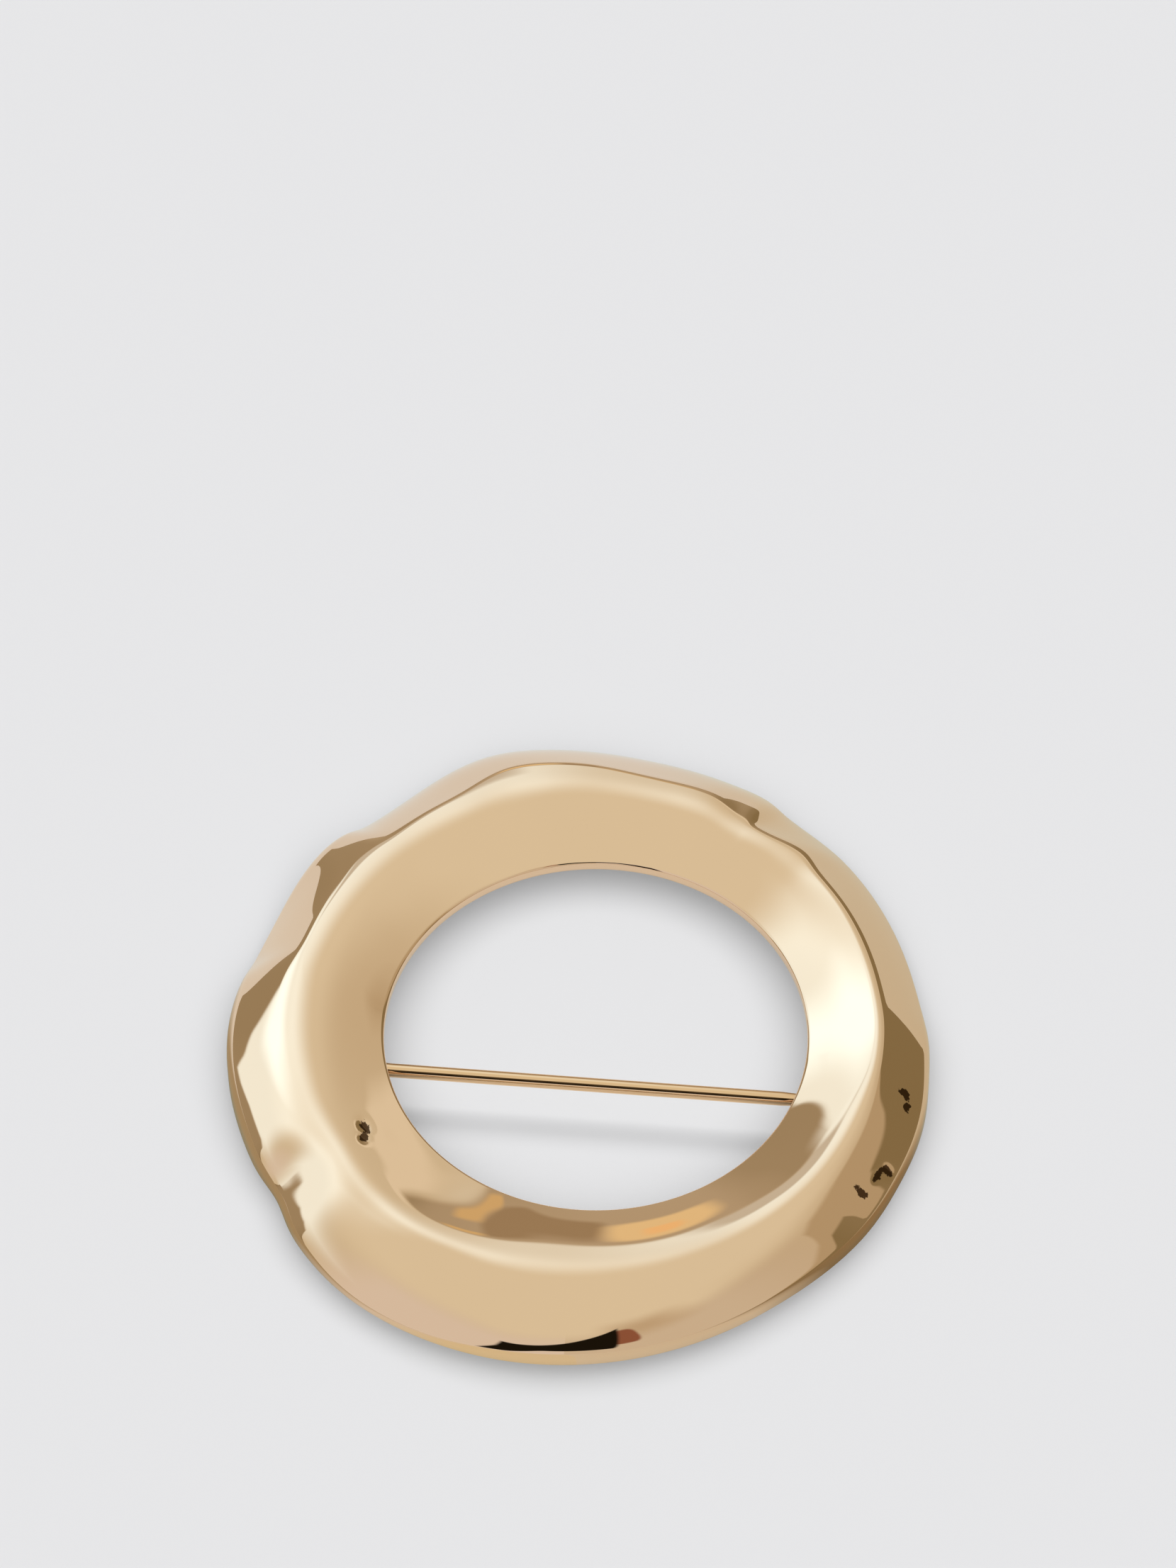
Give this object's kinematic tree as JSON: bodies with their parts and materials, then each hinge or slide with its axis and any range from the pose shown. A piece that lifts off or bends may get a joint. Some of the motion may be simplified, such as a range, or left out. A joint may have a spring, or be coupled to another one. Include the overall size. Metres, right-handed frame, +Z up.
{
  "type": "ring brooch",
  "caption": "Domed ring brooch, a hollow polished gold shell with a wavy edge and a hinged pin stem across its round hole, held by a fork catch.",
  "frame": {"origin": "centre of the ring's bounding box, on the surface that it lies on", "axes": "+Z up through the thickness of the ring, out of its front. +X roughly along the pin stem from the hinge to the catch. -Y is the side that faces the camera in the picture"},
  "size_m": [0.0546, 0.0584, 0.0059],
  "materials": {
    "polished_gold": "polished light gold plating",
    "gold_wire": "drawn wire, light gold plating"
  },
  "bodies": {
    "brooch": {"ring": "polished_gold", "hinge_bracket": "polished_gold", "hinge_rivet": "polished_gold", "catch": "polished_gold"},
    "stem": {"pin_stem": "gold_wire"}
  },
  "joints": [
    {"name": "pin_hinge", "type": "hinge", "parent": "brooch", "child": "stem", "pos_m": [-0.01975, -0.00212, 0.00221], "axis": [0.0872, 0.9962, 0], "range_deg": [0, 60]}
  ]
}
